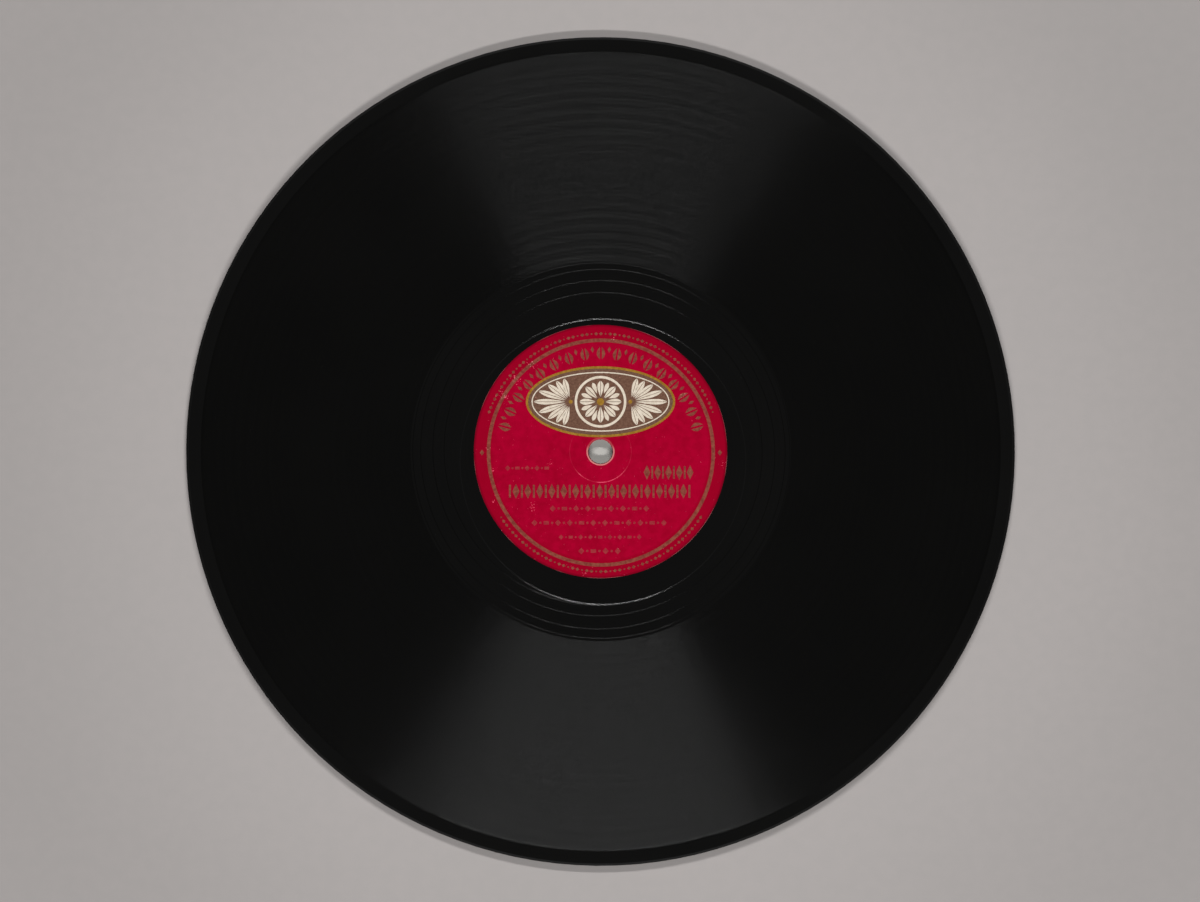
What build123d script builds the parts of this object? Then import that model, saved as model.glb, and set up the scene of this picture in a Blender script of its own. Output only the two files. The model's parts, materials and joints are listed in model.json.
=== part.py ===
from build123d import *
import math
import os

# A laminated shellac record. All lengths are in millimetres.
# The frame's origin is on the spindle axis, level with the lower face. +Z goes up along the axis,
# and +Y points to the top of the upper label. Side A is on top and side B underneath.

# Whole disc
disc_radius = 125.0
disc_thickness = 2.1

# Rim, ground round in narrow bevels that follow a quarter circle
rim_rounding = 0.8
rim_bevels = 3

# Hole through every layer
hole_radius = 3.62

# Layers, from a face inwards
shellac_thickness = 0.32
backing_paper_thickness = 0.12
inner_layers_short_of_rim = 3.0
inner_layer_edge_clearance = 0.1

# Label, pressed into the face
label_radius = 38.2
label_thickness = 0.13
label_below_land = 0.02
label_seat_clearance = 0.08
label_worn_rim_width = 0.55
label_worn_rim_drop = 0.06
pressed_circle_radius = 9.4
pressed_circle_width = 0.7
pressed_circle_depth = 0.05

# Recorded band: its level is the mean of the playing grooves cut in it
band_margin_at_rim = 4.3
band_inner_radius = 56.9
band_drop = 0.04
band_step_width = 0.1

# Locked ring at the end of the run-out, off the spindle axis
ring_radius = 43.07
ring_eccentricity = 3.18
ring_groove_width = 0.26
ring_groove_depth = 0.068
ring_bearing_deg = 13.5

# Run-out spiral from the recorded band to the locked ring
run_out_turns = 3
run_out_groove_width = 0.2
run_out_groove_depth = 0.073
run_out_start_overlap = 0.3

# How far every cutting tool stands above the surface that it cuts
cut_overrun = 0.2

# Heights and radii that follow from the sizes above
land_level = disc_thickness
middle_level = disc_thickness / 2
face_underside = disc_thickness - shellac_thickness
paper_underside = face_underside - backing_paper_thickness
label_top = land_level - label_below_land
recess_floor = label_top - label_thickness
recess_radius = label_radius + label_seat_clearance
band_level = land_level - band_drop
band_outer_radius = disc_radius - band_margin_at_rim
lip_inner_radius = disc_radius - inner_layers_short_of_rim
inner_layer_radius = lip_inner_radius - inner_layer_edge_clearance
rim_radius = min(rim_rounding, disc_thickness / 2)
ring_far_reach = ring_radius + ring_eccentricity


def ring_layer(outer_radius, bottom, top):
    """A flat layer round the spindle hole, between two heights."""
    section = make_face(
        Polyline(
            (hole_radius, 0, bottom),
            (outer_radius, 0, bottom),
            (outer_radius, 0, top),
            (hole_radius, 0, top),
            close=True,
        )
    )
    return revolve(section, Axis.Z)


def turned_over(solid):
    """The same piece on the other side of the disc, turned over about the Y axis."""
    return Pos(0, 0, disc_thickness) * Rot(0, 180, 0) * solid


def groove_tool(centre_y, radius, start_deg, sweep_deg, width, depth):
    """A V-shaped ridge round a centre on the Y axis, which cuts a groove in the upper face."""
    brim = land_level + cut_overrun
    section = make_face(
        Polyline(
            (radius, 0, land_level - depth),
            (radius + width / 2, 0, land_level),
            (radius + width / 2, 0, brim),
            (radius - width / 2, 0, brim),
            (radius - width / 2, 0, land_level),
            close=True,
        )
    )
    ridge = revolve(section, Axis.Z, sweep_deg)
    return Pos(0, centre_y, 0) * Rot(0, 0, start_deg) * ridge


def run_out_tools():
    """Half turns about two centres, each ending where the next starts, and the locked ring."""
    tools = []
    start_reach = band_inner_radius + run_out_start_overlap
    reach = start_reach
    half_turns = 2 * run_out_turns
    inward_step = (start_reach - ring_far_reach) / half_turns
    for half_turn in range(half_turns):
        next_reach = reach - inward_step
        side = -1 if half_turn % 2 == 0 else 1
        centre_y = side * (reach - next_reach) / 2
        radius = (reach + next_reach) / 2
        start_deg = side * 90
        tools.append(
            groove_tool(centre_y, radius, start_deg, 180, run_out_groove_width, run_out_groove_depth)
        )
        reach = next_reach
    tools.append(
        groove_tool(-ring_eccentricity, ring_radius, 0, 360, ring_groove_width, ring_groove_depth)
    )
    return [Rot(0, 0, ring_bearing_deg) * tool for tool in tools]


def rim_corners():
    """The corners of the rim's bevels, from the land round to the side of the disc."""
    corners = []
    for bevel in range(rim_bevels + 1):
        slope = math.radians(90 * bevel / rim_bevels)
        outward = rim_radius * math.sin(slope)
        upward = rim_radius * math.cos(slope)
        corners.append((disc_radius - rim_radius + outward, 0, land_level - rim_radius + upward))
    return corners


def shellac_face():
    """The upper face: a shallow dish with a rounded rim, a label recess and the run-out grooves."""
    section = make_face(
        Polyline(
            (hole_radius, 0, recess_floor),
            (recess_radius, 0, recess_floor),
            (recess_radius, 0, land_level),
            (band_inner_radius, 0, land_level),
            (band_inner_radius + band_step_width, 0, band_level),
            (band_outer_radius - band_step_width, 0, band_level),
            (band_outer_radius, 0, land_level),
            *rim_corners(),
            (disc_radius, 0, middle_level),
            (lip_inner_radius, 0, middle_level),
            (lip_inner_radius, 0, face_underside),
            (hole_radius, 0, face_underside),
            close=True,
        )
    )
    dish = revolve(section, Axis.Z)
    for tool in run_out_tools():
        dish = dish - tool
    return dish


def label():
    """The upper label: a paper disc with a worn rim at the hole and a circle pressed round it."""
    section = make_face(
        Polyline(
            (hole_radius, 0, recess_floor),
            (label_radius, 0, recess_floor),
            (label_radius, 0, label_top),
            (pressed_circle_radius + pressed_circle_width / 2, 0, label_top),
            (pressed_circle_radius, 0, label_top - pressed_circle_depth),
            (pressed_circle_radius - pressed_circle_width / 2, 0, label_top),
            (hole_radius + label_worn_rim_width, 0, label_top),
            (hole_radius, 0, label_top - label_worn_rim_drop),
            close=True,
        )
    )
    return revolve(section, Axis.Z)


face = shellac_face()
upper_label = label()
paper = ring_layer(inner_layer_radius, paper_underside, face_underside)
nodes = {
    "core_disc": ring_layer(inner_layer_radius, disc_thickness - paper_underside, paper_underside),
    "backing_paper_side_a": paper,
    "backing_paper_side_b": turned_over(paper),
    "shellac_face_side_a": face,
    "shellac_face_side_b": turned_over(face),
    "label_side_a": upper_label,
    "label_side_b": turned_over(upper_label),
}

os.makedirs("parts", exist_ok=True)
for name, solid in nodes.items():
    export_step(solid, f"parts/{name}.step")
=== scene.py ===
import json
import math
from collections import namedtuple

import bmesh
import bpy
from mathutils import Matrix, Vector


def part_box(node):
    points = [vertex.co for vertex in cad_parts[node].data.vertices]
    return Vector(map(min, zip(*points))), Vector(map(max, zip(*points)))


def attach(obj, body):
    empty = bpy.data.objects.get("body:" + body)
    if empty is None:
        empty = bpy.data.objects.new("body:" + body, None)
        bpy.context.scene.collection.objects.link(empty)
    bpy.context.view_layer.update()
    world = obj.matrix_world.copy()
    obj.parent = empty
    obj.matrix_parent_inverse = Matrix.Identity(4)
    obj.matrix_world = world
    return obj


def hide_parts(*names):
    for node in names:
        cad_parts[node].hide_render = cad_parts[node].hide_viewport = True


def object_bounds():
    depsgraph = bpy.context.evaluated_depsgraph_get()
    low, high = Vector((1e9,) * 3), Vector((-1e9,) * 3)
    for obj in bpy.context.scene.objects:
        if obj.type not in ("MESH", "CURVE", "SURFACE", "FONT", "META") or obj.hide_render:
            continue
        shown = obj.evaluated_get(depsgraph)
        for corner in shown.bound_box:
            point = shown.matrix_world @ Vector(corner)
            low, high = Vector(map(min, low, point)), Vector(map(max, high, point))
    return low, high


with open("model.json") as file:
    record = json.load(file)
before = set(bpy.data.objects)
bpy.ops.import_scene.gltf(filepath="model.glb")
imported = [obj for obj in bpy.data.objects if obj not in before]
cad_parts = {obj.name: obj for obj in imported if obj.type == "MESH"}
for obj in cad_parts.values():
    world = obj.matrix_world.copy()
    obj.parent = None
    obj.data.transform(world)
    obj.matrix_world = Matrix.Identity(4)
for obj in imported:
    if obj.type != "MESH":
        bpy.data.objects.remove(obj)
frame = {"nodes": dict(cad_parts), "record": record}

# A shellac record lying on a pale floor, in metres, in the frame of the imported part.
# Side A is up. +Y is the top of the label, as in the photograph.

cad_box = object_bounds()
MM = 0.001
FULL_TURN = 2 * math.pi

# Sizes that the frame gives
face_low, face_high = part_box("shellac_face_side_a")
label_low, label_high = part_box("label_side_a")
disc_radius = face_high.x
disc_thickness = cad_box[1].z
land_level = face_high.z
middle_level = face_low.z
label_radius = label_high.x
label_top = label_high.z
label_floor = label_low.z
face_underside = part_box("backing_paper_side_a")[1].z
inner_layer_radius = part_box("core_disc")[1].x
hole_radius = frame["record"]["mounts"][0]["dims"]["r_mm"] * MM

# Meshes: how near two vertices are to become one, and from which angle an edge is sharp
MERGE_DISTANCE = 0.0005 * MM
FACE_CREASE_DEG = 12
LABEL_CREASE_DEG = 20
PRINT_CREASE_DEG = 30

# Face: rim, margin and label recess
RIM_ROUNDING = 0.8 * MM
RIM_STEPS = 8
INNER_LAYER_CLEARANCE = 0.1 * MM
LABEL_SEAT_CLEARANCE = 0.08 * MM
RECESS_EDGE = 0.03 * MM

# Face: playing grooves. A half is half a groove's width, and a lean is how far its bottom stands
# outward of its middle, as a share of that half
COLUMNS = 128
BAND_OUTER = 120.7 * MM
BAND_INNER = 57.17 * MM
PLAYING_TURNS = 239
PLAYING_HALF_AT_RIM = 0.0886 * MM
PLAYING_HALF_AT_END = 0.0753 * MM
PLAYING_DEPTH_AT_RIM = 0.06 * MM
PLAYING_DEPTH_AT_END = 0.056 * MM
PLAYING_LEAN_AT_RIM = -0.26
PLAYING_LEAN_AT_END = -0.46
LEAD_IN_TURNS = 3
LEAD_IN_WIDENED = 1.3
LEAD_IN_COLUMNS = 5

# Face: loudness, as shares of a groove's half and depth, and as a lean. Its waves are in radians per
# turn, and the slow one swells the others
LOUDNESS_SHARE = 0.08
LOUDNESS_LEAN_SHARE = 0.25
SLOW_WAVE = 0.04
SLOW_WAVE_START = -0.71
SLOW_WAVE_LEVEL = 0.6
SLOW_WAVE_HEIGHT = 0.4
QUICK_WAVE = 0.9
BEAT_WAVE = 0.37
BEAT_WAVE_START = 1
FINE_WAVE = 2.3
FINE_WAVE_HEIGHT = 0.5

# Face: run-out spiral and locked ring. A run-out turn takes on the next one's width and depth late,
# with this power of its way
RUN_OUT_REACHES = [56.3 * MM, 53.4 * MM, 49.4 * MM]
RUN_OUT_WIDTH = 0.2 * MM
RUN_OUT_DEPTH = 0.073 * MM
RUN_OUT_LATENESS = 4
RUN_OUT_BEARING_DEG = 13.5
RING_RADIUS = 43.07 * MM
RING_ECCENTRICITY = 3.18 * MM
RING_WIDTH = 0.26 * MM
RING_DEPTH = 0.068 * MM
SEAM_BEARING = math.radians(RUN_OUT_BEARING_DEG - 90)

# Label paper. A bend rounds a slope: it is a place on it, as shares of the slope's width and drop
LABEL_COLUMNS = 2 * COLUMNS
LABEL_EDGE = 0.04 * MM
LABEL_WORN_RIM = 0.55 * MM
LABEL_WORN_DROP = 0.06 * MM
WORN_RIM_BEND = 0.3, 0.4
PRESSED_CIRCLE_RADIUS = 9.4 * MM
PRESSED_CIRCLE_WIDTH = 0.7 * MM
PRESSED_CIRCLE_DEPTH = 0.05 * MM
PRESSED_CIRCLE_BEND = 0.5, 0.7

# Heights of the printed layers above the label paper, and how deep they stand in it
GROUND_LIFT = 0.007 * MM
MOTIF_LIFT = 0.013 * MM
LINE_LIFT = 0.018 * MM
INK_SUNK = 0.004 * MM

# Print: how many sides its shapes have, and how wide a leaf stays at its tips
LOZENGE_SIDES = 4
DOT_SIDES = 16
LEAF_SIDES = 24
OVAL_SIDES = 96
LEAF_TIP_SHARE = 0.25

# Print: the gold ring and its side lozenges, round a centre a little off the hole's. Two lengths in
# a row are a width and a height
PRINT_RIGHT = 0.12 * MM
PRINT_DOWN = 0.33 * MM
GOLD_RING_OUTER = 34.4 * MM
GOLD_RING_INNER = 33.34 * MM
SIDE_LOZENGE = 1.3 * MM, 1.8 * MM

# Print: the fine beading outside the ring. Each arc is its middle's bearing, its reach to either
# side and how many marks it has
BEADING_RADIUS = 35.85 * MM
BEADING_ARCS = [(0, math.radians(70), 63), (math.pi, math.radians(57), 51)]
BEADING_LOZENGE = 1.2 * MM, 1.0 * MM
BEADING_DOT = 0.5 * MM
LOZENGES_PER_DOT = 2

# Print: the border of split leaves inside the ring
ARC_REACH = math.radians(75)
ARC_LEAVES = 17
ARC_FOOT = 27.85 * MM
ARC_LEAF = 2.6 * MM, 4.4 * MM
ARC_LEAF_SLIT = 0.56 * MM
ARC_LEAF_BELLY = 0.46
ARC_LOZENGE_RADIUS = ARC_FOOT + 3.3 * MM
ARC_LOZENGE = 1.0 * MM, 1.9 * MM

# Print: the oval panel and its flower. A kind of petal is how many petals' steps it is turned, how
# far its foot stands off the middle, its width, its length and its slit
PANEL_Y = 15.0 * MM
PANEL_WIDTH = 45.0 * MM
PANEL_HEIGHT = 21.4 * MM
PANEL_FRAME = 0.7 * MM
INNER_LINE_IN = 1.7 * MM
INNER_LINE = 0.35 * MM
FLOWER_RING = 15.6 * MM
FLOWER_RING_LINE = 0.75 * MM
FLOWER_HEART = 2.2 * MM
PETALS = 8
PETAL_BELLY = 0.64
PETAL_KINDS = [
    (0, 1.35 * MM, 1.9 * MM, 5.0 * MM, 0.16 * MM),
    (0.5, 2.7 * MM, 1.25 * MM, 3.5 * MM, 0.0),
]

# Print: the palmettes at the two sides of the flower
PALMETTE_FOOT = 9.0 * MM
PALMETTE_DOT = 1.2 * MM
PALMETTE_FOOT_GAP = 1.3 * MM
PALMETTE_TIP_GAP = 0.6 * MM
PALMETTE_LEAF_WIDTH = 1.7 * MM
PALMETTE_LEAF_SLIT = 0.14 * MM
PALMETTE_LEAVES = 9
PALMETTE_REACH = math.radians(74)

# Print: the bold rows, as kind of mark, height on the label, first and last mark, how many marks,
# and a mark's width and height
BOLD_ROWS = [
    ("lozenge", -6.3 * MM, 14.0 * MM, 27.0 * MM, 5, 2.0 * MM, 4.4 * MM),
    ("bar", -6.3 * MM, 15.6 * MM, 25.4 * MM, 4, 0.55 * MM, 3.8 * MM),
    ("lozenge", -12.0 * MM, -25.5 * MM, 25.0 * MM, 15, 2.1 * MM, 4.5 * MM),
    ("bar", -12.0 * MM, -27.3 * MM, 26.8 * MM, 16, 0.6 * MM, 3.9 * MM),
]

# Print: the fine rows, as height on the label, first and last mark, how many marks and their size,
# and each kind of mark as shares of that size
FINE_ROWS = [
    (-5.0 * MM, -28.0 * MM, -16.2 * MM, 9, 1.5 * MM),
    (-17.2 * MM, -14.4 * MM, 13.8 * MM, 17, 1.75 * MM),
    (-21.5 * MM, -19.9 * MM, 19.1 * MM, 23, 1.75 * MM),
    (-25.8 * MM, -11.9 * MM, 11.7 * MM, 17, 1.4 * MM),
    (-30.0 * MM, -5.8 * MM, 5.2 * MM, 7, 1.8 * MM),
]
FINE_DOT = 0.42
FINE_DASH = 0.9, 0.6
FINE_LOZENGE = 1.0, 1.1
FINE_DASH_EVERY = 3

# Floor, and the radii between which it changes: painted light from the hole, painted shade outward,
# even far off
FLOOR_REACH = 3.0
FLOOR_GAP = 0.02 * MM
PAINTED_LIGHT_REACH = 0.06
# Painted shade: where the board starts and stops darkening outward
PAINTED_SHADE_OUTWARD = 0.115, 0.21
FAR_OFF = 0.3, 0.6

# Lights: soft boxes, each as name, bearing from +X and elevation in degrees, width and power
LIGHT_DISTANCE = 1.6
LIGHT_HEIGHT = 0.11
SOFT_BOXES = [
    ("light_top", 85.9, 41, 1.24, 19.6),
    ("light_bottom", 269.9, 39.2, 1.14, 20.4),
]

# World: its linear tones, and between which heights of a direction the wall passes into the air
WALL_TONE = (0.24, 0.228, 0.224, 1)
AIR_TONE = (0.05, 0.05, 0.05, 1)
WALL_TOP = 0.1, 0.25

# Camera: straight above, the spindle hole a little off the middle of the view
PHOTO_WIDTH_PX = 1200
DISC_RADIUS_PX = 414.3
HOLE_RIGHT_PX = 0.5
HOLE_DOWN_PX = 0.5
CAMERA_HEIGHT = 1.3
CAMERA_CLIP = 0.05, 20
SENSOR_WIDTH_MM = 36


# Colours


def tone(red, green, blue):
    """A screen colour, each channel from 0 to 255, as a linear colour for a shader."""

    def linear(level):
        """One channel, from 0 to 1, by the sRGB curve."""
        share = level / 255
        return share / 12.92 if share <= 0.04045 else ((share + 0.055) / 1.055) ** 2.4

    return (linear(red), linear(green), linear(blue), 1.0)


# Linear tones of the shellac, the filler and the paper between them, dark and light
SHELLAC_TONES = (0.0022, 0.0022, 0.0021, 1), (0.003, 0.0029, 0.0027, 1)
DUST_TONE = (0.02, 0.02, 0.019, 1)
FILLER_TONES = (0.012, 0.011, 0.01, 1), (0.05, 0.045, 0.04, 1)
BACKING_TONES = (0.2, 0.14, 0.08, 1), (0.42, 0.33, 0.22, 1)
BLACK = (0, 0, 0, 1)

# Tones of the label's red print, of its paper where it is worn, and of the painted shade at the
# hole's edge
RED_TONES = tone(155, 0, 36), tone(170, 0, 43)
RED_DRIFT_TONE = tone(176, 0, 47)
RED_OUTSIDE_RING_TONE = tone(150, 0, 32)
RED_AT_EDGE_TONE = tone(92, 0, 22)
RUBBED_TONE = tone(238, 88, 116)
CUT_EDGE_TONE = tone(230, 186, 180)
WORN_HOLE_TONE = tone(214, 130, 128)
# Painted shade: the dark line round the spindle hole's edge
HOLE_SHADE_TONE = tone(52, 26, 26)
WORN_INK_TONE = tone(222, 140, 136)

# Tones of the inks, dark and light
BRONZE_TONES = tone(118, 51, 43), tone(146, 79, 62)
THIN_BRONZE_TONES = tone(146, 36, 46), tone(164, 56, 60)
BROWN_TONES = tone(97, 67, 54), tone(121, 89, 72)
CREAM_TONES = tone(214, 200, 180), tone(234, 221, 203)
GOLD_TONES = tone(138, 100, 28), tone(168, 128, 50)

# Tones of the floor
BOARD_TONES = tone(172, 167, 165), tone(178, 172, 170)
BOARD_FLECK_TONE = tone(168, 164, 162)
# Painted light: the paler tone of the board under the spindle hole
PAINTED_LIGHT_AT_HOLE_TONE = tone(188, 185, 180)
FAR_TONE = tone(168, 163, 161)


# Material building. Noise scales are in waves per metre

# Where most values of a noise lie
NOISE_MIDDLE = 0.3, 0.7

# The colour sockets of a Mix node
MIX_FIRST, MIX_SECOND, MIX_RESULT = 6, 7, 2


def new_material(name):
    """An empty node material, its tree, its output node and its Object coordinates."""
    material = bpy.data.materials.new(name)
    material.use_nodes = True
    tree = material.node_tree
    tree.nodes.clear()
    output = tree.nodes.new("ShaderNodeOutputMaterial")
    coordinates = tree.nodes.new("ShaderNodeTexCoord").outputs["Object"]
    return material, tree, output, coordinates


def add(tree, kind, inputs, **settings):
    """A node with its sockets set, by name or number, to values or joined to other sockets."""
    node = tree.nodes.new(kind)
    for key, value in settings.items():
        setattr(node, key, value)
    for key, value in inputs.items():
        if isinstance(value, bpy.types.NodeSocket):
            tree.links.new(value, node.inputs[key])
        else:
            node.inputs[key].default_value = value
    return node


def maths(tree, operation, first, second=0.0):
    """The result of one sum on sockets or numbers."""
    return add(tree, "ShaderNodeMath", {0: first, 1: second}, operation=operation).outputs[0]


def ramp(tree, value, low, high, to_low=0.0, to_high=1.0):
    """A value eased from one range to another and held at its ends."""
    inputs = {"Value": value, "From Min": low, "From Max": high, "To Min": to_low, "To Max": to_high}
    return add(tree, "ShaderNodeMapRange", inputs, interpolation_type="SMOOTHSTEP").outputs["Result"]


def fade(tree, value, low, high):
    """1 up to one value, easing to 0 at another."""
    return ramp(tree, value, low, high, to_low=1, to_high=0)


def noise(tree, coordinates, scale, detail, roughness=0.5):
    """Noise from 0 to 1."""
    inputs = {"Vector": coordinates, "Scale": scale, "Detail": detail, "Roughness": roughness}
    return add(tree, "ShaderNodeTexNoise", inputs).outputs["Fac"]


def blend(tree, share, first, second):
    """One colour over another by a share."""
    inputs = {"Factor": share, MIX_FIRST: first, MIX_SECOND: second}
    return add(tree, "ShaderNodeMix", inputs, data_type="RGBA").outputs[MIX_RESULT]


def radius_from_spindle(tree, coordinates):
    """The distance from the spindle axis."""
    flat = add(tree, "ShaderNodeVectorMath", {0: coordinates, 1: (1, 1, 0)}, operation="MULTIPLY")
    length = add(tree, "ShaderNodeVectorMath", {0: flat.outputs[0]}, operation="LENGTH")
    return length.outputs["Value"]


def along_axis(tree, coordinates, axis):
    """One coordinate, X, Y or Z."""
    return add(tree, "ShaderNodeSeparateXYZ", {0: coordinates}).outputs[axis]


def finish_surface(tree, output, inputs):
    """The surface shader, joined to the output."""
    shader = add(tree, "ShaderNodeBsdfPrincipled", inputs)
    tree.links.new(shader.outputs[0], output.inputs["Surface"])


def bumps(tree, height, strength, distance):
    """A bumped normal."""
    inputs = {"Height": height, "Strength": strength, "Distance": distance}
    return add(tree, "ShaderNodeBump", inputs).outputs[0]


# Materials of the shellac and of the layers inside


def shellac_material(name, glossiest, dullest, shine=0.5):
    """Black pressed shellac between two roughnesses: grained, dulled in rings, with dust in it."""
    material, tree, output, place = new_material(name)
    radius = radius_from_spindle(tree, place)
    grain = noise(tree, place, scale=2600, detail=3)
    cloud = noise(tree, place, scale=28, detail=3)
    rings = add(tree, "ShaderNodeTexNoise", {"W": radius, "Scale": 900.0, "Detail": 3.0},
                noise_dimensions="1D").outputs["Fac"]
    dust = ramp(tree, noise(tree, place, scale=1900, detail=1), low=0.79, high=0.84)
    dulled = maths(tree, "MULTIPLY", maths(tree, "ADD", rings, cloud), 0.5)
    finish_surface(tree, output, {
        "Base Color": blend(tree, dust, blend(tree, cloud, *SHELLAC_TONES), DUST_TONE),
        "Roughness": ramp(tree, dulled, *NOISE_MIDDLE, glossiest, dullest),
        "IOR": 1.52,
        "Specular IOR Level": shine,
        "Normal": bumps(tree, grain, strength=0.12, distance=0.02 * MM),
    })
    return material


def core_material():
    """Coarse filler: dark grey-brown with pale mineral grains."""
    material, tree, output, place = new_material("core_filler")
    cells = add(tree, "ShaderNodeTexVoronoi", {"Vector": place, "Scale": 3200.0})
    grains = cells.outputs["Distance"]
    finish_surface(tree, output, {
        "Base Color": blend(tree, fade(tree, grains, low=0.12, high=0.3), *FILLER_TONES),
        "Roughness": 0.62,
        "Normal": bumps(tree, grains, strength=0.5, distance=0.06 * MM),
    })
    return material


def backing_paper_material():
    """Brown kraft-like paper soaked with shellac, with fibres."""
    material, tree, output, place = new_material("backing_paper")
    stretched = add(tree, "ShaderNodeMapping", {"Vector": place, "Scale": (1, 0.25, 1)}).outputs[0]
    fibres = noise(tree, stretched, scale=5200, detail=4, roughness=0.65)
    finish_surface(tree, output, {
        "Base Color": blend(tree, fibres, *BACKING_TONES),
        "Roughness": 0.8,
        "Normal": bumps(tree, fibres, strength=0.4, distance=0.04 * MM),
    })
    return material


# Wear of the label, and painted shade at the hole's edge

# Two radii or heights in a row are where a change starts and where it ends
OUTSIDE_RING = 32.4 * MM, 33.4 * MM
DARK_EDGE = label_radius - 0.9 * MM, label_radius - 0.1 * MM
CUT_EDGE = label_radius - 0.1 * MM, label_radius - 0.02 * MM
WORN_AT_HOLE = hole_radius + 0.38 * MM, hole_radius + 0.52 * MM
WORN_AT_HOLE_RAGGED = 0.3 * MM
# Painted shade at the hole's edge: where it is darkest and where it ends
HOLE_SHADE_RADII = hole_radius + 0.16 * MM, hole_radius + 0.26 * MM
ABOVE_HOLE = 0.2 * MM, 2.2 * MM
WORN_CIRCLE_RADIUS = PRESSED_CIRCLE_RADIUS - 0.1 * MM
OFF_WORN_CIRCLE = 0.04 * MM, 0.17 * MM
ABOVE_WORN_CIRCLE = -7.6 * MM, -4 * MM

# How much the patches add to the specks, and how far a speck rubs the red and an ink off
PATCH_WEAR = 0.18
RED_RUBBED = 0.95
INK_RUBBED = 0.7

# Where the print is worn through to the paper: place on the label and reach
WORN_PATCHES = [
    (-20.6 * MM, -16.6 * MM, 2.8 * MM),
    (-32.3 * MM, -15.0 * MM, 1.4 * MM),
    (-29.2 * MM, 16.6 * MM, 3.2 * MM),
    (-25.6 * MM, 21.8 * MM, 3.4 * MM),
    (-20.8 * MM, 26.4 * MM, 2.8 * MM),
    (-34.2 * MM, 0.5 * MM, 1.6 * MM),
    (-32.6 * MM, -5.9 * MM, 1.6 * MM),
    (3.8 * MM, 34.1 * MM, 1.8 * MM),
    (-15.4 * MM, -3.9 * MM, 1.6 * MM),
    (36.6 * MM, -3.8 * MM, 2.0 * MM),
    (-4.8 * MM, -37.2 * MM, 2.0 * MM),
    (6.8 * MM, -37.3 * MM, 1.6 * MM),
    (25.0 * MM, 17.0 * MM, 2.0 * MM),
]


def near(tree, place, x, y, reach):
    """1 at a spot of the label, easing to 0 at its reach."""
    spot = (x, y, label_top)
    away = add(tree, "ShaderNodeVectorMath", {0: place, 1: spot}, operation="DISTANCE")
    return fade(tree, away.outputs["Value"], low=0.0, high=reach)


def speck_wear(tree, place):
    """How far the print is worn through: fine specks everywhere, and more at the worn patches."""
    specks = noise(tree, place, scale=2300, detail=1)
    patches = 0.0
    for x, y, reach in WORN_PATCHES:
        patches = maths(tree, "MAXIMUM", near(tree, place, x, y, reach), patches)
    raised = maths(tree, "ADD", specks, maths(tree, "MULTIPLY", patches, PATCH_WEAR))
    return ramp(tree, raised, low=0.765, high=0.8)


def circle_wear(tree, place, radius, upward):
    """How far the pressed circle is rubbed pale: in patches, and most in its lower part."""
    off_circle = maths(tree, "ABSOLUTE", maths(tree, "SUBTRACT", radius, WORN_CIRCLE_RADIUS))
    on_circle = fade(tree, off_circle, *OFF_WORN_CIRCLE)
    broken = noise(tree, place, scale=260, detail=4, roughness=0.65)
    broken = ramp(tree, broken, low=0.42, high=0.6, to_low=0.12)
    lower_part = ramp(tree, upward, *ABOVE_WORN_CIRCLE, to_low=1, to_high=0.1)
    return maths(tree, "MULTIPLY", on_circle, maths(tree, "MULTIPLY", broken, lower_part))


def hole_wear_and_shade(tree, place, radius, upward):
    """How far the paper is worn pale round the hole, and how far painted shade darkens the hole's
    edge.
    """
    coarse = noise(tree, place, scale=700, detail=2)
    ragged = maths(tree, "MULTIPLY", coarse, -WORN_AT_HOLE_RAGGED)
    worn = fade(tree, maths(tree, "ADD", radius, ragged), *WORN_AT_HOLE)
    # Painted shade darkening the paper at the hole's edge
    hole_shade = ramp(tree, radius, *HOLE_SHADE_RADII, to_low=0.9, to_high=0)
    lower_part = ramp(tree, upward, *ABOVE_HOLE, to_low=1, to_high=0.2)
    return [maths(tree, "MULTIPLY", share, lower_part) for share in (worn, hole_shade)]


def cut_edge_wear(tree, place, radius):
    """How far the label's cut edge shows pale paper, in patches."""
    patches = ramp(tree, noise(tree, place, scale=90, detail=2), low=0.5, high=0.65, to_high=0.35)
    return maths(tree, "MULTIPLY", ramp(tree, radius, *CUT_EDGE), patches)


# Materials of the label, its print and the floor

PAPER_FIBRE_SCALE = 3600


def unworn_red(tree, place, radius, mottle):
    """The label's red, mottled and drifting, darker outside the gold ring and at its edge."""
    drift = noise(tree, place, scale=45, detail=2)
    red = blend(tree, ramp(tree, mottle, *NOISE_MIDDLE), *RED_TONES)
    red = blend(tree, ramp(tree, drift, low=0.4, high=0.75, to_high=0.35), red, RED_DRIFT_TONE)
    outside_ring = ramp(tree, radius, *OUTSIDE_RING, to_high=0.8)
    red = blend(tree, outside_ring, red, RED_OUTSIDE_RING_TONE)
    return blend(tree, ramp(tree, radius, *DARK_EDGE, to_high=0.55), red, RED_AT_EDGE_TONE)


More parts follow.
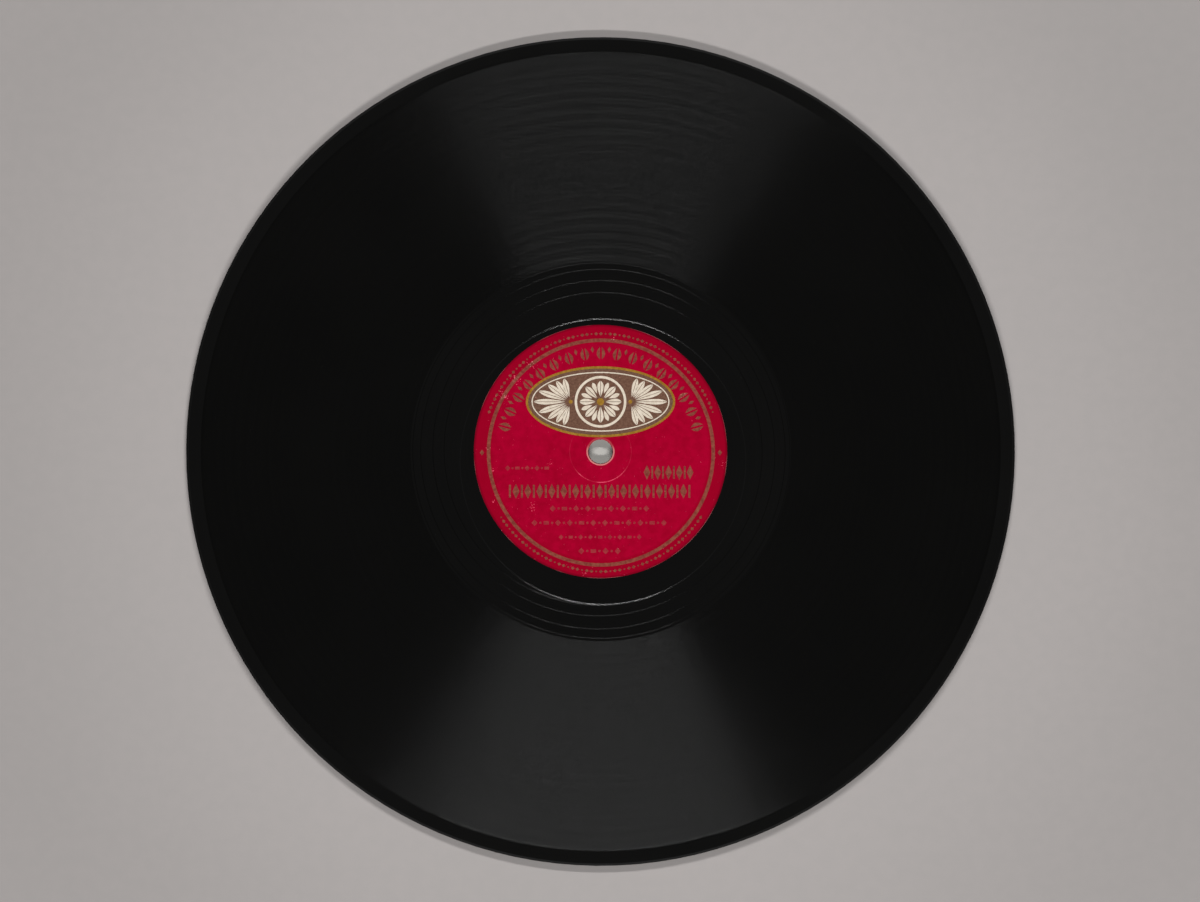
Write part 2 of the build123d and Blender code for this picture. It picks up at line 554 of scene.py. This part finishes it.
def label_material():
    """Red printed paper, worn pale round the hole, on the pressed circle and at its edge."""
    material, tree, output, place = new_material("label_red")
    radius = radius_from_spindle(tree, place)
    upward = along_axis(tree, place, "Y")
    mottle = noise(tree, place, scale=420, detail=4, roughness=0.6)
    fibres = noise(tree, place, scale=PAPER_FIBRE_SCALE, detail=3)
    specks = maths(tree, "MULTIPLY", speck_wear(tree, place), RED_RUBBED)
    rubbed = maths(tree, "MAXIMUM", circle_wear(tree, place, radius, upward), specks)
    worn_hole, hole_shade = hole_wear_and_shade(tree, place, radius, upward)
    colour = unworn_red(tree, place, radius, mottle)
    colour = blend(tree, rubbed, colour, RUBBED_TONE)
    colour = blend(tree, cut_edge_wear(tree, place, radius), colour, CUT_EDGE_TONE)
    colour = blend(tree, worn_hole, colour, WORN_HOLE_TONE)
    # Painted shade at the hole's edge
    colour = blend(tree, hole_shade, colour, HOLE_SHADE_TONE)
    finish_surface(tree, output, {
        "Base Color": colour,
        "Roughness": ramp(tree, mottle, low=0.2, high=0.8, to_low=0.5, to_high=0.64),
        "Specular IOR Level": 0.02,
        "Normal": bumps(tree, fibres, strength=0.25, distance=0.02 * MM),
    })
    return material


def ink_material(name, dark, light, mottle_scale, roughness):
    """One printing ink, mottled between two tones and worn through in specks."""
    material, tree, output, place = new_material(name)
    mottle = noise(tree, place, mottle_scale, detail=4, roughness=0.65)
    fibres = noise(tree, place, scale=PAPER_FIBRE_SCALE, detail=3)
    colour = blend(tree, ramp(tree, mottle, *NOISE_MIDDLE), dark, light)
    worn = maths(tree, "MULTIPLY", speck_wear(tree, place), INK_RUBBED)
    finish_surface(tree, output, {
        "Base Color": blend(tree, worn, colour, WORN_INK_TONE),
        "Roughness": roughness,
        "Specular IOR Level": 0.1,
        "Normal": bumps(tree, fibres, strength=0.2, distance=0.02 * MM),
    })
    return material


def floor_material():
    """Pale grey board with a faint mottle, palest at the hole by painted light, darker outward by
    painted shade, and at one even tone far off.
    """
    material, tree, output, place = new_material("floor_board")
    radius = radius_from_spindle(tree, place)
    mottle = noise(tree, place, scale=9, detail=3)
    fine = noise(tree, place, scale=240, detail=2)
    colour = blend(tree, mottle, *BOARD_TONES)
    flecks = ramp(tree, fine, *NOISE_MIDDLE, to_high=0.25)
    colour = blend(tree, flecks, colour, BOARD_FLECK_TONE)
    # Painted light: the board turns paler towards the spot under the spindle hole
    colour = blend(tree, fade(tree, radius, hole_radius, PAINTED_LIGHT_REACH), colour, PAINTED_LIGHT_AT_HOLE_TONE)
    # Painted shade: the board darkens outward from the record
    colour = blend(tree, ramp(tree, radius, *PAINTED_SHADE_OUTWARD, to_high=0.13), colour, BLACK)
    board = add(tree, "ShaderNodeBsdfPrincipled", {
        "Base Color": colour,
        "Roughness": 0.9,
        "Specular IOR Level": 0.2,
    })
    far_tone = add(tree, "ShaderNodeEmission", {"Color": FAR_TONE})
    seen = tree.nodes.new("ShaderNodeLightPath").outputs["Is Camera Ray"]
    share = maths(tree, "MULTIPLY", ramp(tree, radius, *FAR_OFF), seen)
    mixed = add(tree, "ShaderNodeMixShader", {0: share, 1: board.outputs[0], 2: far_tone.outputs[0]})
    tree.links.new(mixed.outputs[0], output.inputs["Surface"])
    return material


# Mesh building


def lerp(first, second, share):
    """A value between two others, at a share of the way."""
    return first + (second - first) * share


def spread(count, first, last):
    """Evenly spaced values from the first to the last."""
    return [lerp(first, last, step / (count - 1)) for step in range(count)]


def verts_in(items):
    """The vertices among the mesh items that an operator gives back."""
    return [item for item in items if isinstance(item, bmesh.types.BMVert)]


def spun_point(point, bearing):
    """A point of an outline, given as radius and height, at a bearing round the spindle axis."""
    radius, height = point
    return (radius * math.cos(bearing), radius * math.sin(bearing), height)


def spin_outline(bm, columns, merged):
    """Spins an outline once round the spindle axis, and gives the vertices of the last column."""
    spun = bmesh.ops.spin(
        bm, geom=bm.verts[:] + bm.edges[:], cent=(0, 0, 0), axis=(0, 0, 1), dvec=(0, 0, 0),
        angle=FULL_TURN, steps=columns, use_merge=merged, use_normal_flip=False, use_duplicate=False,
    )
    return set(verts_in(spun["geom_last"]))


def weld(bm):
    """Merges the vertices that meet and turns all normals outward."""
    bmesh.ops.remove_doubles(bm, verts=bm.verts[:], dist=MERGE_DISTANCE)
    bmesh.ops.recalc_face_normals(bm, faces=bm.faces[:])


def mesh_from(bm, crease_deg):
    """The mesh of a bmesh, smooth shaded but for its creases, and also where it is marked rounded."""
    rounded = bm.edges.layers.int.get("rounded")
    for edge in bm.edges:
        creased = edge.calc_face_angle(0) > math.radians(crease_deg)
        edge.smooth = not creased or bool(rounded and edge[rounded])
    mesh = bpy.data.meshes.new("piece")
    bm.to_mesh(mesh)
    bm.free()
    mesh.shade_smooth()
    return mesh


def turned_over(mesh):
    """A copy of a mesh for side B: turned over about the Y axis."""
    other = mesh.copy()
    other.transform(Matrix.Translation((0, 0, disc_thickness)) @ Matrix.Rotation(math.pi, 4, "Y"))
    return other


def new_piece(name, mesh, materials, nodes):
    """A finished piece on the record's one body, standing for the named CAD nodes."""
    mesh.name = name
    piece = bpy.data.objects.new(name, mesh)
    bpy.context.scene.collection.objects.link(piece)
    for material in materials:
        mesh.materials.append(material)
    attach(piece, "root")
    if nodes:
        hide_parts(*nodes)


def new_pair(name, mesh, materials, node=None):
    """A piece on side A and its copy on side B, each standing for its side's CAD node, if any."""
    for side, side_mesh in [("side_a", mesh), ("side_b", turned_over(mesh))]:
        nodes = [f"{node}_{side}"] if node else []
        new_piece(f"{name}_{side}", side_mesh, materials, nodes)


# The face's grooves

# One groove at one place of its turn: its middle's radius, half its width, its depth and how far its
# bottom stands outward of its middle
Groove = namedtuple("Groove", "centre half depth lean")

# The points of a groove in the face's outline, from outside inwards
OUTER_EDGE, BOTTOM, INNER_EDGE = range(3)
GROOVE_POINTS = 3


def loudness(turn):
    """How loud a turn is: quick waves that swell over the side and fade out in its last turn."""
    swell = SLOW_WAVE_LEVEL + SLOW_WAVE_HEIGHT * math.sin(turn * SLOW_WAVE + SLOW_WAVE_START)
    swell *= min(1, PLAYING_TURNS - turn)
    quick = math.sin(turn * QUICK_WAVE) * math.sin(turn * BEAT_WAVE + BEAT_WAVE_START)
    return swell * (quick + FINE_WAVE_HEIGHT * math.sin(turn * FINE_WAVE))


def groove_turns():
    """Every turn at the seam, where it starts: the playing grooves, the run-out, the locked ring."""
    pitch = (BAND_OUTER - BAND_INNER) / PLAYING_TURNS
    turns = []
    for turn in range(PLAYING_TURNS):
        inward = turn / PLAYING_TURNS
        half = lerp(PLAYING_HALF_AT_RIM, PLAYING_HALF_AT_END, inward)
        depth = lerp(PLAYING_DEPTH_AT_RIM, PLAYING_DEPTH_AT_END, inward)
        half *= 1 + LOUDNESS_SHARE * loudness(turn)
        depth *= 1 - LOUDNESS_SHARE * loudness(turn)
        if turn < LEAD_IN_TURNS:
            half = LEAD_IN_WIDENED * PLAYING_HALF_AT_RIM
        lean = lerp(PLAYING_LEAN_AT_RIM, PLAYING_LEAN_AT_END, inward) * half
        turns.append(Groove(BAND_OUTER - PLAYING_HALF_AT_RIM - turn * pitch, half, depth, lean))
    for reach in RUN_OUT_REACHES:
        turns.append(Groove(reach, RUN_OUT_WIDTH / 2, RUN_OUT_DEPTH, 0))
    turns.append(Groove(RING_RADIUS + RING_ECCENTRICITY, RING_WIDTH / 2, RING_DEPTH, 0))
    return turns


def locked_ring_centre(share):
    """The radius of the locked ring's middle, at a share of a turn past the seam."""
    angle = FULL_TURN * share
    across = RING_ECCENTRICITY * math.sin(angle)
    return RING_ECCENTRICITY * math.cos(angle) + math.sqrt(RING_RADIUS**2 - across**2)


def groove_at(turns, turn, share):
    """The groove of one turn at a share of a turn past the seam, on its way to the next turn."""
    here = turns[turn]
    if turn == len(turns) - 1:
        return here._replace(centre=locked_ring_centre(share))
    there = turns[turn + 1]
    groove = Groove(*(lerp(start, end, share) for start, end in zip(here, there)))
    if turn >= PLAYING_TURNS:
        late = share**RUN_OUT_LATENESS
        half, depth = lerp(here.half, there.half, late), lerp(here.depth, there.depth, late)
        return groove._replace(half=half, depth=depth)
    upper = (1 + math.sin(SEAM_BEARING + FULL_TURN * share)) / 2
    loud_lean = groove.half * LOUDNESS_LEAN_SHARE * loudness(turn + share)
    groove = groove._replace(lean=lerp(loud_lean, groove.lean, upper))
    if turn > 0:
        return groove
    started = min(1, share * COLUMNS / LEAD_IN_COLUMNS)
    half = groove.half * (started or 1)
    return Groove(groove.centre, half, groove.depth * started, groove.lean * started)


def ridge_between(outer, inner):
    """Where the flanks of two neighbouring grooves meet, or None where land lies between them."""
    if outer.centre - outer.half >= inner.centre + inner.half:
        return None
    outer_slope = outer.depth / outer.half
    inner_slope = inner.depth / inner.half
    rise = outer_slope * outer.centre + inner_slope * inner.centre + inner.depth - outer.depth
    radius = rise / (outer_slope + inner_slope)
    radius = min(max(radius, inner.centre), outer.centre)
    return (radius, land_level - inner.depth + (radius - inner.centre) * inner_slope)


def groove_points(turns, turn, share):
    """The outer edge, the bottom and the inner edge of one turn, as radius and height."""
    groove = groove_at(turns, turn, share)
    points = [
        (groove.centre + groove.half, land_level),
        (groove.centre + groove.lean, land_level - groove.depth),
        (groove.centre - groove.half, land_level),
    ]
    last = len(turns) - 1
    if turn == last - 1:
        ridge = ridge_between(groove, groove_at(turns, last, share))
        points[INNER_EDGE] = ridge or points[INNER_EDGE]
    if turn == last:
        ridge = ridge_between(groove_at(turns, last - 1, share), groove)
        points[OUTER_EDGE] = ridge or points[OUTER_EDGE]
    return points


# The face and the label paper

# The face's materials by number: its lands, its groove walls, its rim and the locked ring's walls
POLISHED, WORN, GROUND, BURNISHED = range(4)


def plain_outline():
    """The face's outline without grooves: from the recess to the hole, underneath, and up the rim."""
    recess_radius = label_radius + LABEL_SEAT_CLEARANCE
    lip_radius = inner_layer_radius + INNER_LAYER_CLEARANCE
    outline = [
        (recess_radius + RECESS_EDGE, land_level),
        (recess_radius, land_level - RECESS_EDGE),
        (recess_radius, label_floor),
        (hole_radius, label_floor),
        (hole_radius, face_underside),
        (lip_radius, face_underside),
        (lip_radius, middle_level),
        (disc_radius, middle_level),
    ]
    for step in range(RIM_STEPS + 1):
        slope = math.pi / 2 * step / RIM_STEPS
        outward = disc_radius - RIM_ROUNDING + RIM_ROUNDING * math.cos(slope)
        outline.append((outward, land_level - RIM_ROUNDING + RIM_ROUNDING * math.sin(slope)))
    outline.append((BAND_OUTER + PLAYING_HALF_AT_RIM, land_level))
    return outline


def face_finish(corners, outline_count):
    """The finish between two corners of the outline, as its number among the face's materials."""
    lower = min(corners)
    if lower < outline_count:
        # The outline's last two corners are the top of the rim and the end of the margin
        rim_top = outline_count - 2
        return GROUND if rim_top - RIM_STEPS <= lower < rim_top else POLISHED
    turn, part = divmod(lower - outline_count, GROOVE_POINTS)
    if part == INNER_EDGE:
        return POLISHED
    return WORN if turn < PLAYING_TURNS + len(RUN_OUT_REACHES) else BURNISHED


def is_groove_bottom(corner, outline_count):
    """Whether a corner of the outline is the bottom of a groove."""
    return corner >= outline_count and (corner - outline_count) % GROOVE_POINTS == BOTTOM


def finish_face(bm, outline_count):
    """Gives each part of the face its material, and marks the groove bottoms as rounded."""
    corner_number = bm.verts.layers.int["corner"]
    rounded = bm.edges.layers.int["rounded"]
    for face in bm.faces:
        corners = {vert[corner_number] for vert in face.verts}
        face.material_index = face_finish(corners, outline_count)
    for edge in bm.edges:
        corners = {vert[corner_number] for vert in edge.verts}
        edge[rounded] = all(is_groove_bottom(corner, outline_count) for corner in corners)


def join_lead_in(bm, last_column, outline_count, start_points):
    """Bends the margin's end in the last column through the points where the first groove starts.

    The other side of the seam has these points there, so the two sides can be welded.
    """
    corner_number = bm.verts.layers.int["corner"]
    margin_end = {outline_count - 1, outline_count}
    edges = [
        edge
        for edge in bm.edges
        if last_column.issuperset(edge.verts)
        and {vert[corner_number] for vert in edge.verts} == margin_end
    ]
    cut = bmesh.ops.subdivide_edges(bm, edges=edges, cuts=GROOVE_POINTS)["geom_inner"]
    inward = sorted(verts_in(cut), key=lambda vert: vert.co.xy.length, reverse=True)
    for vert, point in zip(inward, start_points):
        vert.co = spun_point(point, SEAM_BEARING)


def face_mesh():
    """The upper face: its outline spun round the spindle axis, then wound into one spiral groove.

    Each playing turn starts at the seam where the turn outside it ends, so the columns at the two
    sides of the seam meet one turn apart.
    """
    turns = groove_turns()
    outline = plain_outline()

    def corner_point(corner, share):
        """A corner of the whole outline at a share of a turn past the seam."""
        if corner < len(outline):
            return outline[corner]
        turn, part = divmod(corner - len(outline), GROOVE_POINTS)
        return groove_points(turns, turn, share)[part]

    bm = bmesh.new()
    corner_number = bm.verts.layers.int.new("corner")
    bm.edges.layers.int.new("rounded")
    corners = len(outline) + GROOVE_POINTS * len(turns)
    circle = bmesh.ops.create_circle(bm, segments=corners, radius=1.0)
    for corner, vert in enumerate(circle["verts"]):
        vert[corner_number] = corner
        vert.co = spun_point(corner_point(corner, 0), SEAM_BEARING)
    last_column = spin_outline(bm, COLUMNS, merged=False)
    for vert in bm.verts:
        turned = (math.atan2(vert.co.y, vert.co.x) - SEAM_BEARING) / FULL_TURN
        share = 1.0 if vert in last_column else round(turned * COLUMNS) % COLUMNS / COLUMNS
        bearing = SEAM_BEARING + FULL_TURN * (share % 1)
        vert.co = spun_point(corner_point(vert[corner_number], share), bearing)
    finish_face(bm, len(outline))
    join_lead_in(bm, last_column, len(outline), groove_points(turns, 0, 0))
    weld(bm)
    return mesh_from(bm, FACE_CREASE_DEG)


def label_mesh():
    """The label paper: its outline spun round the spindle axis."""
    bm = bmesh.new()
    half = PRESSED_CIRCLE_WIDTH / 2
    rim_out, rim_down = WORN_RIM_BEND
    circle_out, circle_down = PRESSED_CIRCLE_BEND
    outline = [
        (hole_radius, label_floor),
        (hole_radius, label_top - LABEL_WORN_DROP),
        (hole_radius + rim_out * LABEL_WORN_RIM, label_top - rim_down * LABEL_WORN_DROP),
        (hole_radius + LABEL_WORN_RIM, label_top),
        (PRESSED_CIRCLE_RADIUS - half, label_top),
        (PRESSED_CIRCLE_RADIUS - circle_out * half, label_top - circle_down * PRESSED_CIRCLE_DEPTH),
        (PRESSED_CIRCLE_RADIUS, label_top - PRESSED_CIRCLE_DEPTH),
        (PRESSED_CIRCLE_RADIUS + circle_out * half, label_top - circle_down * PRESSED_CIRCLE_DEPTH),
        (PRESSED_CIRCLE_RADIUS + half, label_top),
        (label_radius - LABEL_EDGE, label_top),
        (label_radius, label_top - LABEL_EDGE),
        (label_radius, label_floor),
    ]
    circle = bmesh.ops.create_circle(bm, segments=len(outline), radius=1.0)
    for vert, point in zip(circle["verts"], outline):
        vert.co = spun_point(point, 0)
    spin_outline(bm, LABEL_COLUMNS, merged=True)
    weld(bm)
    return mesh_from(bm, LABEL_CREASE_DEG)


# Printed shapes: flat, in the plane of the label, each placed by a matrix


def at(x, y, turn=0.0):
    """A place on the label in metres, turned anticlockwise by an angle in radians."""
    return Matrix.Translation((x, y, 0)) @ Matrix.Rotation(turn, 4, "Z")


def on_arc(radius, bearing):
    """A place at a distance from the print's centre, in a direction clockwise from its top."""
    turned = Matrix.Rotation(-bearing, 4, "Z") @ Matrix.Translation((0, radius, 0))
    return at(PRINT_RIGHT, -PRINT_DOWN) @ turned


def stretched(place, width, height):
    """A place where a shape of unit width and height gets its own."""
    return place @ Matrix.Diagonal((width, height, 1, 1))


def oval(bm, place, width, height, sides=OVAL_SIDES):
    """A flat filled oval."""
    size = stretched(place, width, height)
    bmesh.ops.create_circle(bm, cap_ends=True, segments=sides, radius=0.5, matrix=size)


def dot(bm, place, diameter):
    """A flat filled disc."""
    oval(bm, place, diameter, diameter, DOT_SIDES)


def lozenge(bm, place, width, height):
    """A flat lozenge on its point."""
    oval(bm, place, width, height, LOZENGE_SIDES)


def bar(bm, place, width, height):
    """A flat upright bar."""
    size = stretched(place, width, height)
    bmesh.ops.create_grid(bm, x_segments=1, y_segments=1, size=0.5, matrix=size)


def hoop(bm, place, width, height, line, sides=OVAL_SIDES):
    """A flat ring, round or oval, with a line of even width."""
    loops = []
    for narrowed in (0, 2 * line):
        size = stretched(place, width - narrowed, height - narrowed)
        made = bmesh.ops.create_circle(bm, segments=sides, radius=0.5, matrix=size)["verts"]
        loops += {edge for vert in made for edge in vert.link_edges}
    bmesh.ops.bridge_loops(bm, edges=loops)


def cut_away(bm, verts, side, slit):
    """What is left of a leaf on one side of a slit along its middle, as vertices."""
    geometry = verts + list({edge for vert in verts for edge in vert.link_edges})
    geometry += list({face for vert in verts for face in vert.link_faces})
    cut = bmesh.ops.bisect_plane(
        bm, geom=geometry, dist=0, plane_co=(side * slit / 2, 0, 0), plane_no=(side, 0, 0),
        use_snap_center=False, clear_outer=False, clear_inner=True,
    )
    return verts_in(cut["geom"])


def leaf(bm, place, width, length, slit, belly):
    """A pointed leaf on its stalk end, widest at its belly, in two halves where it has a slit."""
    for side in (-1, 1) if slit else (0,):
        made = bmesh.ops.create_circle(bm, cap_ends=True, segments=LEAF_SIDES, radius=0.5)["verts"]
        for vert in made:
            across, along = vert.co.x, vert.co.y
            swell = 1 - (2 * along) ** 2
            vert.co.x = across * width * lerp(LEAF_TIP_SHARE, 1, swell)
            vert.co.y = (along + (belly - 0.5) * swell + 0.5) * length
        if side:
            made = cut_away(bm, made, side, slit)
        bmesh.ops.transform(bm, matrix=place, verts=made)


def new_print(name, draw, lift, material):
    """One ink's shapes as thin plates standing out of the labels of both sides."""
    bm = bmesh.new()
    draw(bm)
    bmesh.ops.translate(bm, vec=(0, 0, label_top - INK_SUNK), verts=bm.verts[:])
    raised = bmesh.ops.extrude_face_region(bm, geom=bm.faces[:], use_keep_orig=True)["geom"]
    bmesh.ops.translate(bm, vec=(0, 0, lift + INK_SUNK), verts=verts_in(raised))
    bmesh.ops.recalc_face_normals(bm, faces=bm.faces[:])
    new_pair(name, mesh_from(bm, PRINT_CREASE_DEG), [material])


# The print


def draw_title_arc(bm):
    """The wide border over the panel: upright split leaves with lozenges between their tips."""
    for bearing in spread(ARC_LEAVES, -ARC_REACH, ARC_REACH):
        leaf(bm, on_arc(ARC_FOOT, bearing), *ARC_LEAF, ARC_LEAF_SLIT, ARC_LEAF_BELLY)
    lozenge_reach = ARC_REACH * (1 - 1 / (ARC_LEAVES - 1))
    for bearing in spread(ARC_LEAVES - 1, -lozenge_reach, lozenge_reach):
        lozenge(bm, on_arc(ARC_LOZENGE_RADIUS, bearing), *ARC_LOZENGE)


def draw_ring(bm):
    """The printed ring and the two lozenges on its outer band."""
    diameter = 2 * GOLD_RING_OUTER
    line = GOLD_RING_OUTER - GOLD_RING_INNER
    hoop(bm, at(PRINT_RIGHT, -PRINT_DOWN), diameter, diameter, line, LABEL_COLUMNS)
    for side in (-1, 1):
        lozenge(bm, at(PRINT_RIGHT + side * BEADING_RADIUS, -PRINT_DOWN), *SIDE_LOZENGE)


def draw_beading(bm):
    """Fine lozenges and dots along the outer band, over the top and under the bottom."""
    for middle, reach, marks in BEADING_ARCS:
        for number, bearing in enumerate(spread(marks, middle - reach, middle + reach)):
            place = on_arc(BEADING_RADIUS, bearing)
            if number % (LOZENGES_PER_DOT + 1) == LOZENGES_PER_DOT:
                dot(bm, place, BEADING_DOT)
            else:
                lozenge(bm, place, *BEADING_LOZENGE)


def draw_bold_rows(bm):
    """The two bold rows of ornament under the panel: lozenges with bars between them."""
    for kind, y, first, last, marks, width, height in BOLD_ROWS:
        draw = lozenge if kind == "lozenge" else bar
        for x in spread(marks, first, last):
            draw(bm, at(x, y), width, height)


def draw_fine_rows(bm):
    """The fine rows under the panel: lozenges with dots between them, some of them dashes instead."""
    for y, first, last, marks, size in FINE_ROWS:
        for number, x in enumerate(spread(marks, first, last)):
            lozenge_number, is_dot = divmod(number, 2)
            if is_dot:
                dot(bm, at(x, y), FINE_DOT * size)
            elif lozenge_number % FINE_DASH_EVERY == 1:
                bar(bm, at(x, y), *(share * size for share in FINE_DASH))
            else:
                lozenge(bm, at(x, y), *(share * size for share in FINE_LOZENGE))


def draw_panel_ground(bm):
    """The brown ground of the panel."""
    oval(bm, at(0, PANEL_Y), PANEL_WIDTH - PANEL_FRAME, PANEL_HEIGHT - PANEL_FRAME)


def draw_panel_lines(bm):
    """The gold frame of the panel, the heart of the flower and the feet of the palmettes."""
    hoop(bm, at(0, PANEL_Y), PANEL_WIDTH, PANEL_HEIGHT, PANEL_FRAME)
    dot(bm, at(0, PANEL_Y), FLOWER_HEART)
    for side in (-1, 1):
        dot(bm, at(side * PALMETTE_FOOT, PANEL_Y), PALMETTE_DOT)


def reach_to_oval(direction):
    """How far it is from a palmette's foot to the inner line, at an angle from the long axis."""
    half_width = PANEL_WIDTH / 2 - INNER_LINE_IN
    half_height = PANEL_HEIGHT / 2 - INNER_LINE_IN
    along, across = math.cos(direction) / half_width, math.sin(direction) / half_height
    foot = PALMETTE_FOOT / half_width
    square = along**2 + across**2
    return (math.sqrt((foot * along) ** 2 + square * (1 - foot**2)) - foot * along) / square


def draw_panel_motif(bm):
    """The cream flower in its ring, the panel's inner line and a palmette on each side."""
    middle = at(0, PANEL_Y)
    for number in range(PETALS):
        for step, foot, width, length, slit in PETAL_KINDS:
            turn = Matrix.Rotation(FULL_TURN / PETALS * (number + step), 4, "Z")
            leaf(bm, middle @ turn @ at(0, foot), width, length, slit, PETAL_BELLY)
    hoop(bm, middle, FLOWER_RING, FLOWER_RING, FLOWER_RING_LINE)
    hoop(bm, middle, PANEL_WIDTH - 2 * INNER_LINE_IN, PANEL_HEIGHT - 2 * INNER_LINE_IN, INNER_LINE)
    for side in (-1, 1):
        foot = at(side * PALMETTE_FOOT, PANEL_Y, -side * math.pi / 2)
        for direction in spread(PALMETTE_LEAVES, -PALMETTE_REACH, PALMETTE_REACH):
            length = reach_to_oval(direction) - PALMETTE_FOOT_GAP - PALMETTE_TIP_GAP
            turned = foot @ Matrix.Rotation(direction, 4, "Z") @ at(0, PALMETTE_FOOT_GAP)
            leaf(bm, turned, PALMETTE_LEAF_WIDTH, length, PALMETTE_LEAF_SLIT, PETAL_BELLY)


# Floor, light and camera


def make_floor():
    """The board that the record lies on."""
    bm = bmesh.new()
    lowered = Matrix.Translation((0, 0, -FLOOR_GAP))
    bmesh.ops.create_grid(bm, x_segments=1, y_segments=1, size=FLOOR_REACH, matrix=lowered)
    mesh = bpy.data.meshes.new("floor")
    bm.to_mesh(mesh)
    bm.free()
    mesh.materials.append(floor_material())
    floor = bpy.data.objects.new("floor", mesh)
    bpy.context.scene.collection.objects.link(floor)


def soft_box(name, bearing_deg, elevation_deg, width, power):
    """A soft box in a direction round the record from +X, at a height in degrees, aimed at it."""
    bearing, elevation = math.radians(bearing_deg), math.radians(elevation_deg)
    light = bpy.data.lights.new(name, "AREA")
    light.shape = "RECTANGLE"
    light.size = width
    light.size_y = LIGHT_HEIGHT
    light.energy = power
    lamp = bpy.data.objects.new(name, light)
    reach = LIGHT_DISTANCE * math.cos(elevation)
    lamp.location = spun_point((reach, LIGHT_DISTANCE * math.sin(elevation)), bearing)
    lamp.rotation_euler = (Vector((0, 0, 0)) - lamp.location).to_track_quat("-Z", "Y").to_euler()
    bpy.context.scene.collection.objects.link(lamp)


def make_world():
    """Dim studio air overhead, with a pale wall round the horizon."""
    world = bpy.data.worlds.new("studio")
    world.use_nodes = True
    tree = world.node_tree
    tree.nodes.clear()
    output = tree.nodes.new("ShaderNodeOutputWorld")
    direction = tree.nodes.new("ShaderNodeTexCoord").outputs["Generated"]
    above_wall = ramp(tree, along_axis(tree, direction, "Z"), *WALL_TOP)
    colour = blend(tree, above_wall, WALL_TONE, AIR_TONE)
    seen = tree.nodes.new("ShaderNodeLightPath").outputs["Is Camera Ray"]
    colour = blend(tree, seen, colour, FAR_TONE)
    air = add(tree, "ShaderNodeBackground", {"Color": colour, "Strength": 1.0})
    tree.links.new(air.outputs[0], output.inputs["Surface"])
    bpy.context.scene.world = world


def make_camera():
    """A long lens straight above the hole, framed by the rim's radius in the photograph."""
    camera = bpy.data.cameras.new("camera")
    pixel = disc_radius / DISC_RADIUS_PX
    view_width = PHOTO_WIDTH_PX * pixel
    camera.sensor_width = SENSOR_WIDTH_MM
    camera.lens = SENSOR_WIDTH_MM * CAMERA_HEIGHT / view_width
    camera.clip_start, camera.clip_end = CAMERA_CLIP
    eye = bpy.data.objects.new("camera", camera)
    eye.location = (-HOLE_RIGHT_PX * pixel, HOLE_DOWN_PX * pixel, middle_level + CAMERA_HEIGHT)
    bpy.context.scene.collection.objects.link(eye)
    bpy.context.scene.camera = eye


# The scene

face_finishes = [
    shellac_material("shellac_polished", glossiest=0.16, dullest=0.2),
    shellac_material("shellac_worn", glossiest=0.19, dullest=0.22, shine=0.13),
    shellac_material("shellac_ground", glossiest=0.55, dullest=0.65, shine=0.12),
    shellac_material("shellac_burnished", glossiest=0.17, dullest=0.2, shine=0.85),
]
label_red = label_material()
core = core_material()
backing = backing_paper_material()
new_pair("face", face_mesh(), face_finishes, "shellac_face")
new_pair("label_paper", label_mesh(), [label_red], "label")

bronze = ink_material("ink_bronze", *BRONZE_TONES, mottle_scale=900, roughness=0.5)
thin_bronze = ink_material("ink_bronze_thin", *THIN_BRONZE_TONES, mottle_scale=900, roughness=0.5)
brown = ink_material("ink_brown", *BROWN_TONES, mottle_scale=1500, roughness=0.55)
cream = ink_material("ink_cream", *CREAM_TONES, mottle_scale=1200, roughness=0.6)
gold = ink_material("ink_gold", *GOLD_TONES, mottle_scale=900, roughness=0.45)
new_print("print_ring", draw_ring, GROUND_LIFT, bronze)
new_print("print_beading", draw_beading, GROUND_LIFT, bronze)
new_print("print_title_arc", draw_title_arc, GROUND_LIFT, bronze)
new_print("print_bold_rows", draw_bold_rows, GROUND_LIFT, bronze)
new_print("print_fine_rows", draw_fine_rows, GROUND_LIFT, thin_bronze)
new_print("print_panel_ground", draw_panel_ground, GROUND_LIFT, brown)
new_print("print_panel_motif", draw_panel_motif, MOTIF_LIFT, cream)
new_print("print_panel_lines", draw_panel_lines, LINE_LIFT, gold)

for node, material in {
    "core_disc": core,
    "backing_paper_side_a": backing,
    "backing_paper_side_b": backing,
}.items():
    materials = frame["nodes"][node].data.materials
    materials.clear()
    materials.append(material)

make_floor()
for box in SOFT_BOXES:
    soft_box(*box)
make_world()
make_camera()
bpy.context.scene.view_settings.view_transform = "Standard"
